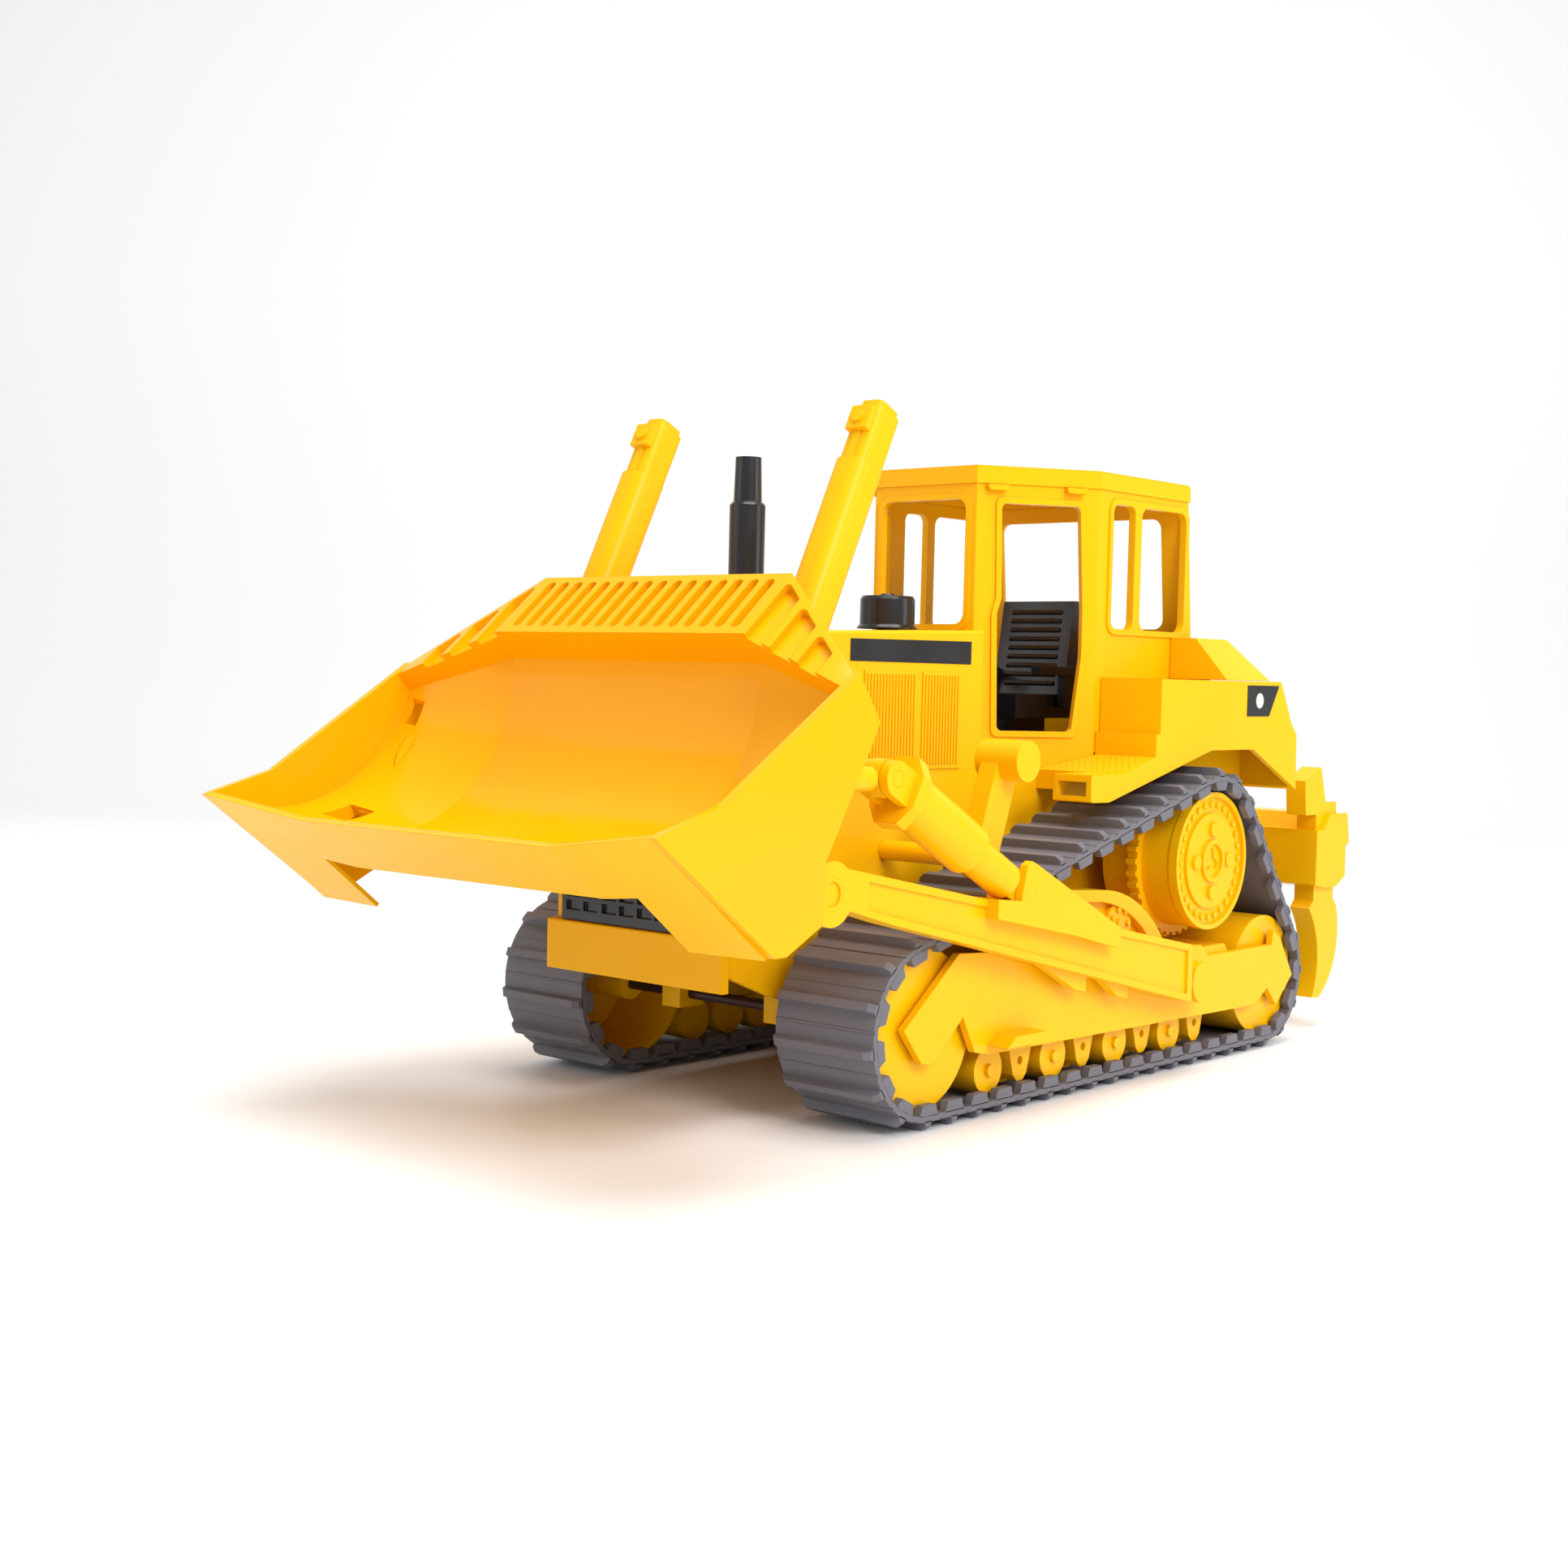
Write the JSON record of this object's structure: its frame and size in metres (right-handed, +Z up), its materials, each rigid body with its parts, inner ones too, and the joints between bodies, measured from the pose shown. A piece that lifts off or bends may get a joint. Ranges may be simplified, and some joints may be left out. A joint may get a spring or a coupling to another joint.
{
  "type": "toy bulldozer",
  "caption": "Toy bulldozer with a liftable, tiltable front blade on push arms, an open cab, belted track wheels that turn and a hinged rear ripper.",
  "frame": {"origin": "on the ground, below the centre of the bounding box", "axes": "+Z up, +Y towards the ripper at the rear, +X towards the machine's left side; the blade is at -Y"},
  "size_m": [0.242, 0.5258, 0.2752],
  "materials": {
    "body_yellow": "satin moulded plastic",
    "blade_yellow": "polished moulded plastic",
    "black_plastic": "gloss moulded plastic",
    "belt_grey": "matt flexible rubber",
    "axle_brown": "dull brown metal rod"
  },
  "bodies": {
    "chassis": {"air_intake_cap": "black_plastic", "arm_pivot_pins": "body_yellow", "cab_console": "black_plastic", "cab_roof": "body_yellow", "cab_shell": "body_yellow", "carrier_guards": "body_yellow", "driver_seat": "black_plastic", "exhaust_stack": "black_plastic", "fender_left": "body_yellow", "fender_right": "body_yellow", "frame_covers": "body_yellow", "front_guard": "body_yellow", "hood": "body_yellow", "hull": "body_yellow", "idler_axles": "axle_brown", "radiator_grille": "black_plastic", "radiator_shroud": "body_yellow", "rear_deck": "body_yellow", "rear_tank": "body_yellow", "ripper_mount": "body_yellow", "ripper_pivot_pin": "body_yellow", "roller_banks": "body_yellow", "side_panels": "body_yellow", "sprocket_axle": "body_yellow", "track_belt_left": "belt_grey", "track_belt_right": "belt_grey", "track_frames": "body_yellow"},
    "lift_frame": {"push_arm_left": "body_yellow", "push_arm_right": "body_yellow", "arm_cross_tube": "body_yellow", "brace_foot_pins": "body_yellow"},
    "blade": {"blade_moldboard": "blade_yellow", "cutting_edge": "body_yellow", "blade_carrier": "body_yellow", "brace_ball_pins": "body_yellow"},
    "levers": {"lever_shaft": "body_yellow", "release_levers": "body_yellow"},
    "ripper": {"ripper_frame": "body_yellow", "ripper_beam": "body_yellow", "ripper_shanks": "body_yellow"},
    "ripper_barrels": {"ripper_barrels": "body_yellow"},
    "ripper_rods": {"ripper_rods": "body_yellow"},
    "brace_barrel_left": {"brace_barrel_left": "body_yellow"},
    "brace_rod_left": {"brace_rod_left": "body_yellow"},
    "lift_cylinder_left": {"lift_cylinder_left": "body_yellow"},
    "lift_trunnion_left": {"lift_trunnion_left": "body_yellow"},
    "front_idler_left": {"front_idler_left": "body_yellow"},
    "rear_idler_left": {"rear_idler_left": "body_yellow"},
    "sprocket_left": {"sprocket_left": "body_yellow", "hub_cap_left": "body_yellow"},
    "brace_barrel_right": {"brace_barrel_right": "body_yellow"},
    "brace_rod_right": {"brace_rod_right": "body_yellow"},
    "lift_cylinder_right": {"lift_cylinder_right": "body_yellow"},
    "lift_trunnion_right": {"lift_trunnion_right": "body_yellow"},
    "front_idler_right": {"front_idler_right": "body_yellow"},
    "rear_idler_right": {"rear_idler_right": "body_yellow"},
    "sprocket_right": {"sprocket_right": "body_yellow", "hub_cap_right": "body_yellow"}
  },
  "joints": [
    {"name": "lift", "type": "hinge", "parent": "chassis", "child": "lift_frame", "pos_m": [0, 0.0857, 0.0402], "axis": [1, 0, 0], "range_deg": [0, 11.5]},
    {"name": "blade_pitch", "type": "hinge", "parent": "lift_frame", "child": "blade", "pos_m": [0, -0.168, 0.095], "axis": [1, 0, 0], "range_deg": [0, 22]},
    {"name": "ripper_raise", "type": "hinge", "parent": "chassis", "child": "ripper", "pos_m": [0, 0.192, 0.066], "axis": [1, 0, 0], "range_deg": [-12, 9]},
    {"name": "ripper_barrel_turn", "type": "hinge", "parent": "chassis", "child": "ripper_barrels", "pos_m": [0, 0.192, 0.118], "axis": [1, 0, 0], "range_deg": [-12, 12]},
    {"name": "ripper_rod_turn", "type": "hinge", "parent": "ripper", "child": "ripper_rods", "pos_m": [0, 0.24, 0.108], "axis": [1, 0, 0], "range_deg": [-6, 6]},
    {"name": "release_levers_turn", "type": "hinge", "parent": "chassis", "child": "levers", "pos_m": [0, -0.056, 0.1], "axis": [1, 0, 0], "range_deg": [-12, 12]},
    {"name": "lift_cylinder_left_turn", "type": "hinge", "parent": "lift_frame", "child": "lift_cylinder_left", "pos_m": [0.0582, -0.168, 0.095], "axis": [1, 0, 0], "range_deg": [-6, 6]},
    {"name": "lift_trunnion_left_turn", "type": "hinge", "parent": "chassis", "child": "lift_trunnion_left", "pos_m": [0.0582, -0.13524, 0.16247], "axis": [1, 0, 0], "range_deg": [-12, 12]},
    {"name": "brace_rod_left_turn", "type": "hinge", "parent": "lift_frame", "child": "brace_rod_left", "pos_m": [0.1107, -0.056, 0.0885], "axis": [1, 0, 0], "range_deg": [-6, 6]},
    {"name": "brace_barrel_left_turn", "type": "hinge", "parent": "blade", "child": "brace_barrel_left", "pos_m": [0.1107, -0.14, 0.134], "axis": [1, 0, 0], "range_deg": [-26, 26]},
    {"name": "front_idler_left_spin", "type": "hinge", "parent": "chassis", "child": "front_idler_left", "pos_m": [0.0765, -0.094, 0.0374], "axis": [1, 0, 0], "continuous": true},
    {"name": "rear_idler_left_spin", "type": "hinge", "parent": "chassis", "child": "rear_idler_left", "pos_m": [0.0765, 0.1688, 0.0342], "axis": [1, 0, 0], "continuous": true},
    {"name": "sprocket_left_spin", "type": "hinge", "parent": "chassis", "child": "sprocket_left", "pos_m": [0.0765, 0.1182, 0.0902], "axis": [1, 0, 0], "continuous": true},
    {"name": "lift_cylinder_right_turn", "type": "hinge", "parent": "lift_frame", "child": "lift_cylinder_right", "pos_m": [-0.0582, -0.168, 0.095], "axis": [1, 0, 0], "range_deg": [-6, 6]},
    {"name": "lift_trunnion_right_turn", "type": "hinge", "parent": "chassis", "child": "lift_trunnion_right", "pos_m": [-0.0582, -0.13524, 0.16247], "axis": [1, 0, 0], "range_deg": [-12, 12]},
    {"name": "brace_rod_right_turn", "type": "hinge", "parent": "lift_frame", "child": "brace_rod_right", "pos_m": [-0.1107, -0.056, 0.0885], "axis": [1, 0, 0], "range_deg": [-6, 6]},
    {"name": "brace_barrel_right_turn", "type": "hinge", "parent": "blade", "child": "brace_barrel_right", "pos_m": [-0.1107, -0.14, 0.134], "axis": [1, 0, 0], "range_deg": [-26, 26]},
    {"name": "front_idler_right_spin", "type": "hinge", "parent": "chassis", "child": "front_idler_right", "pos_m": [-0.0765, -0.094, 0.0374], "axis": [1, 0, 0], "continuous": true},
    {"name": "rear_idler_right_spin", "type": "hinge", "parent": "chassis", "child": "rear_idler_right", "pos_m": [-0.0765, 0.1688, 0.0342], "axis": [1, 0, 0], "continuous": true},
    {"name": "sprocket_right_spin", "type": "hinge", "parent": "chassis", "child": "sprocket_right", "pos_m": [-0.0765, 0.1182, 0.0902], "axis": [1, 0, 0], "continuous": true}
  ],
  "couplings": [
    {"joint": "ripper_barrel_turn", "follows": "ripper_raise", "ratio": 0.769},
    {"joint": "ripper_rod_turn", "follows": "ripper_raise", "ratio": -0.231},
    {"joint": "lift_cylinder_left_turn", "follows": "lift", "ratio": -0.298},
    {"joint": "lift_trunnion_left_turn", "follows": "lift", "ratio": 0.702},
    {"joint": "brace_rod_left_turn", "follows": "blade_pitch", "ratio": 0.014},
    {"joint": "brace_barrel_left_turn", "follows": "blade_pitch", "ratio": -0.986},
    {"joint": "lift_cylinder_right_turn", "follows": "lift", "ratio": -0.298},
    {"joint": "lift_trunnion_right_turn", "follows": "lift", "ratio": 0.702},
    {"joint": "brace_rod_right_turn", "follows": "blade_pitch", "ratio": 0.014},
    {"joint": "brace_barrel_right_turn", "follows": "blade_pitch", "ratio": -0.986}
  ]
}
